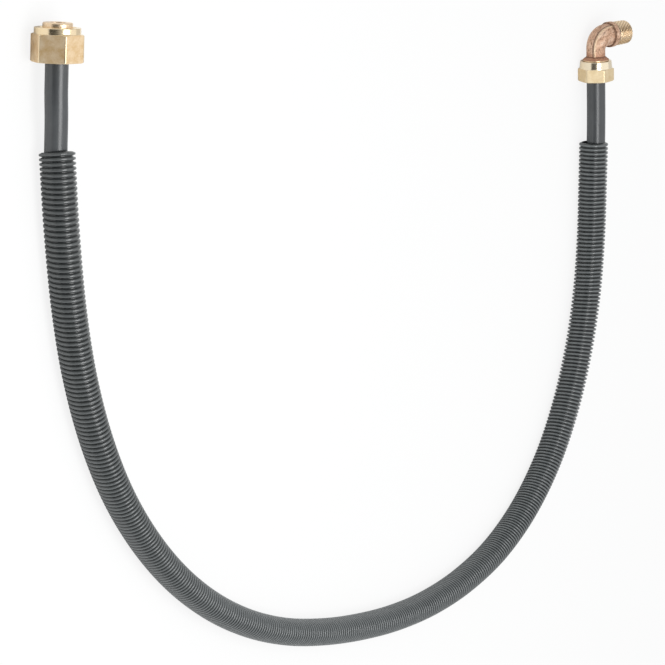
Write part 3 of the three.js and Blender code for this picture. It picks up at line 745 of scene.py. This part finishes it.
# How far the edge of each choice of points stands from the size that it goes by
slack = {"outside": 0.5, "inside": 0.6, "cutStart": 0.2, "cutEnd": 0.3, "edge": 0.1, "neck": 0.3,
         "flange": 0.2}
bendStart = casting["corner"] - casting["bend"]
bendLength = casting["bend"] * np.pi / 2
outletOffset = bendStart + bendLength - casting["bend"]


def onElbow(own):
    # Carries a straight form round the corner: place(s) + side * inner(s), with up kept.
    side, s, up = own[..., 0], own[..., 1], own[..., 2]
    turn = np.clip((s - bendStart) / casting["bend"], 0, np.pi / 2)
    past = s - bendStart - casting["bend"] * turn
    x = casting["bend"] * (1 - np.cos(turn)) + past * np.sin(turn) + side * np.cos(turn)
    y = bendStart + casting["bend"] * np.sin(turn) + past * np.cos(turn) - side * np.sin(turn)
    rise = np.radians(casting["rise"])
    return np.stack([x * np.cos(rise) - up * np.sin(rise), y, x * np.sin(rise) + up * np.cos(rise)], -1)


shoulderFrom, shoulderTo = casting["shoulderStart"] + outletOffset, casting["shoulderEnd"] + outletOffset
threadFrom, outletEnd = casting["threadStart"] + outletOffset, casting["end"] + outletOffset
outletBoreEnd = outletEnd - casting["outletBoreDepth"]
threadTip = casting["thread"] - casting["taper"]
tipIn, tipAlong = casting["endChamfer"]
loop = profiled(spigotProfile(elbowSpot["face"]) + [
    (casting["nutThread"], elbowSpot["face"], 0.4, 2), (casting["nutThread"], casting["flangeStart"], 0.1, 1),
    (casting["flange"], casting["flangeStart"], 0.15, 1), (casting["flange"], casting["flangeTop"], 0.3, 1),
    (casting["leg"] + casting["footFlare"], casting["flangeShoulder"], 0.5, 0.6),
    (casting["leg"], casting["flangeShoulder"] + casting["footRise"], 0.5, 0.8),
    (casting["leg"], bendStart, 0.5, 0.8), (casting["body"], bendStart + bendLength, 0.5, 0.8),
    (casting["body"], shoulderFrom, 0.3, 1), (casting["shoulder"], shoulderFrom, 0.45, 1),
    (casting["shoulder"], shoulderTo, 0.45, 1), (casting["neck"], shoulderTo + casting["neckEdge"], 0.3, 1),
    (casting["neck"], threadFrom - casting["neckShort"], 0.2, 1),
    (casting["thread"], threadFrom + casting["threadRun"], 0.3, 0.15),
    (threadTip, outletEnd - tipAlong, 0.2, 0.5), (threadTip - tipIn, outletEnd, 0.2, 1),
    (casting["outletBore"], outletEnd, 0.3, 2), (casting["outletBore"], outletBoreEnd, 0.3, 2),
    (casting["bendBore"], outletBoreEnd - casting["boreCone"], 0.5, 1.2),
    (casting["bendBore"], bendStart, 0.5, 2), (casting["bendBore"], casting["flangeShoulder"], 0.5, 2),
    (spigot["waterway"], casting["flangeShoulder"] - casting["boreCone"], 0.3, 4),
], casting["columns"])
angle = evenAngles(casting["columns"])
radius, along = loop[..., 0].copy(), loop[..., 1]
isOutside = radius > casting["leg"] - slack["outside"]
# The seam where the two halves of the mould met: a rounded rib up the leg and round the bend.
seamTurn = np.radians(seam["angle"])
seamAt = np.arctan2(-np.cos(seamTurn), np.sin(seamTurn))
fettled = np.zeros(loop.shape[:2])
for side in (0, np.pi):
    away = (angle - seamAt - side + np.pi) % (2 * np.pi) - np.pi
    across = radius * np.abs(away)
    ribRound = np.sqrt(np.maximum(0, seam["radius"] ** 2 - across ** 2))
    rib = np.maximum(0, ribRound - seam["sunk"] * seam["radius"])
    reaches = smoothStep((along - casting["flangeShoulder"] - seam["start"]) / seam["fadeIn"])
    reaches = reaches * smoothStep((shoulderFrom + seam["fadeOut"] - along) / seam["fadeOut"])
    loop[..., 0] += rib * reaches * isOutside
    fettled = np.maximum(fettled, smoothStep(rib / seam["radius"]) * reaches * isOutside)
# The outlet's right-hand thread, with nicks along its crests.
depth, pitch = casting["threadDepth"], casting["pitch"]
cutStart, cutEnd = threadFrom + slack["cutStart"], outletEnd - slack["cutEnd"]
cut = threaded(loop, angle, cutStart, cutEnd, depth, pitch, False)
isThread = along > threadFrom + slack["edge"]
isThread = isThread & (radius > casting["neck"] - slack["neck"])
isThread = isThread & (radius < casting["thread"] + slack["edge"])
isNicked = isThread * (along < outletEnd - casting["nickEnd"])
onCrest = np.clip(1 - np.abs(cut) / (casting["crestBand"] * depth), 0, 1) * isNicked
# They lean with the thread, at nicks angle + pi along / pitch, and are wider than real ones, to show.
nick = (0.5 + 0.5 * np.cos(casting["nicks"] * angle + np.pi * along / pitch)) ** 2
loop[..., 0] += cut * isThread - casting["nickDepth"] * onCrest * nick
own = turned(loop, angle)
machined = (along > shoulderTo - slack["edge"]) | (along < casting["flangeTop"] - slack["flange"])
machined = machined | (loop[..., 0] < casting["leg"] - slack["inside"])
machined = np.maximum(machined, seam["shine"] * fettled)    # the seam was filed down bright
stainLeft = casting["flangeShoulder"] + castMarks["stainReach"] - along
stained = smoothStep(stainLeft / castMarks["stainReach"]) * castMarks["stain"]
# Painted shade in the creases, exp(-(distance / width)^2): below the seam's rib, round the leg's foot, before
# and behind the shoulder. The thread is painted dark where its cut is deepest, and in the nicks, painted
# shade too.
awayFromSeam = (angle - seamAt + np.pi) % (2 * np.pi) - np.pi
awayFromRib = radius * awayFromSeam + seam["radius"] * castMarks["besideSeam"]
crease = np.exp(-(awayFromRib / castMarks["besideWidth"]) ** 2) * castMarks["besideDepth"]
besideStart = casting["flangeShoulder"] + castMarks["besideStart"]
crease = crease * (along > besideStart) * (along < shoulderFrom)
# (place along, width, depth of the painted shade)
roundCreases = [(casting["flangeShoulder"] + 0.5, 0.5, 0.75), (shoulderFrom - 0.3, 0.5, 0.7),
                (shoulderTo + 0.9, 0.8, 0.8)]
for place, width, shade in roundCreases:
    crease = np.maximum(crease, shade * np.exp(-((along - place) / width) ** 2))
valley = np.clip(-cut / depth, 0, 1) ** castMarks["valleySharpness"]
threadShade = np.maximum(castMarks["valleyShade"] * valley, castMarks["nickShade"] * nick) * isNicked
crease = np.maximum(crease, threadShade) * isOutside
castingPiece = makePiece("elbow_casting", onSpot(onElbow(own), elbowSpot), own, "elbow_body", "gunmetal",
                         "hose", marks={"machined": machined, "stained": stained, "crease": crease})
print("elbow casting made")


# Floor, world and lamps. Camera rays see the floor nearly white, and glossy and transmission rays a little
# whiter than it is lit. All three see the world dark on the near side and pale on the far side.
light = {
    "floor": "#eeeeed", "floorReach": 6.0, "cameraShine": 0.84, "glossyShine": 0.1,
    "around": "#f2f4f6", "aroundStrength": 0.7,
    # What is round the part, from the camera's side, at -X, to the far side: (share of the way, grey).
    # The sides count as further round by sideShare.
    "seen": [(0.2, "#4a4a4a"), (0.26, "#a8a9aa"), (0.36, "#cdcfd1"), (0.55, "#d9dbdc"), (0.8, "#dcdddf")],
    "sideShare": 1.2,
    "lamps": [
        {"name": "softbox", "place": (-0.41, -0.1, 1.05), "target": (-0.1, -0.1, 0), "size": (0.95, 0.52),
         "power": 7.4},
        {"name": "fill", "place": (0.65, 0.0, 1.9), "target": (0.1, 0, 0), "size": (2.4, 2.4), "power": 6},
    ],
}
floorMesh = bpy.data.meshes.new("floor")
reach = light["floorReach"]
floorCorners = [(-reach, -reach, 0), (reach, -reach, 0), (reach, reach, 0), (-reach, reach, 0)]
floorMesh.from_pydata(floorCorners, [], [(0, 1, 2, 3)])
floor = bpy.data.objects.new("floor", floorMesh)
bpy.context.scene.collection.objects.link(floor)


def backgroundRays(tree, cameraShare, glossyShare):
    # How far camera, glossy and transmission rays see the background's own look. Other rays don't see it.
    path = addNode(tree, "LightPath")
    seen = addNode(tree, "Math", {"operation": "MULTIPLY", 1: cameraShare}, {0: (path, "Is Camera Ray")})
    for output in ("Is Glossy Ray", "Is Transmission Ray"):
        seen = addNode(tree, "Math", {"operation": "MULTIPLY_ADD", 1: glossyShare},
                       {0: (path, output), 2: (seen, 0)})
    return addNode(tree, "Clamp", links={"Value": (seen, 0)})


floorMaterial = bpy.data.materials.new("pale_floor")
floorMaterial.use_nodes = True
tree = floorMaterial.node_tree
tree.nodes.clear()
matt = addNode(tree, "BsdfDiffuse", {"Color": light["floor"]})
white = addNode(tree, "Emission", {"Color": "#ffffff", "Strength": 1.0})
share = backgroundRays(tree, light["cameraShine"], light["glossyShine"])
both = addNode(tree, "MixShader", links={0: (share, 0), 1: (matt, 0), 2: (white, 0)})
addNode(tree, "OutputMaterial", links={"Surface": (both, 0)})
floorMesh.materials.append(floorMaterial)

world = bpy.data.worlds.new("world")
bpy.context.scene.world = world
world.use_nodes = True
tree = world.node_tree
tree.nodes.clear()
direction = addNode(tree, "TexCoord")
split = addNode(tree, "SeparateXYZ", links={0: (direction, "Generated")})
aside = addNode(tree, "Math", {"operation": "ABSOLUTE"}, {0: (split, "Y")})
backOrAside = addNode(tree, "Math", {"operation": "MULTIPLY_ADD", 1: light["sideShare"]},
                      {0: (aside, 0), 2: (split, "X")})
across = spread(tree, backOrAside, 0, 0, 1, span=(-1, 1))
seen = colourRamp(tree, light["seen"], across, "Result")
plain = addNode(tree, "VectorMath", {"operation": "SCALE", 0: linearColour(light["around"])[:3],
                                     "Scale": light["aroundStrength"]})
colour = addNode(tree, "Mix", {"data_type": "RGBA"},
                 {0: (backgroundRays(tree, 1.0, 1.0), 0), 6: (plain, 0), 7: (seen, "Color")})
background = addNode(tree, "Background", {"Strength": 1.0}, {"Color": (colour, 2)})
addNode(tree, "OutputWorld", links={"Surface": (background, 0)})

for lamp in light["lamps"]:
    data = bpy.data.lights.new(lamp["name"], "AREA")
    data.shape = "RECTANGLE"
    data.size, data.size_y = lamp["size"]
    data.energy = lamp["power"]
    lampObject = bpy.data.objects.new(lamp["name"], data)
    way = Vector(lamp["target"]) - Vector(lamp["place"])
    lampObject.rotation_euler = way.to_track_quat("-Z", "Y").to_euler()
    lampObject.location = lamp["place"]
    bpy.context.scene.collection.objects.link(lampObject)
bpy.context.scene.view_settings.view_transform = "Standard"
print("floor and lamps set")
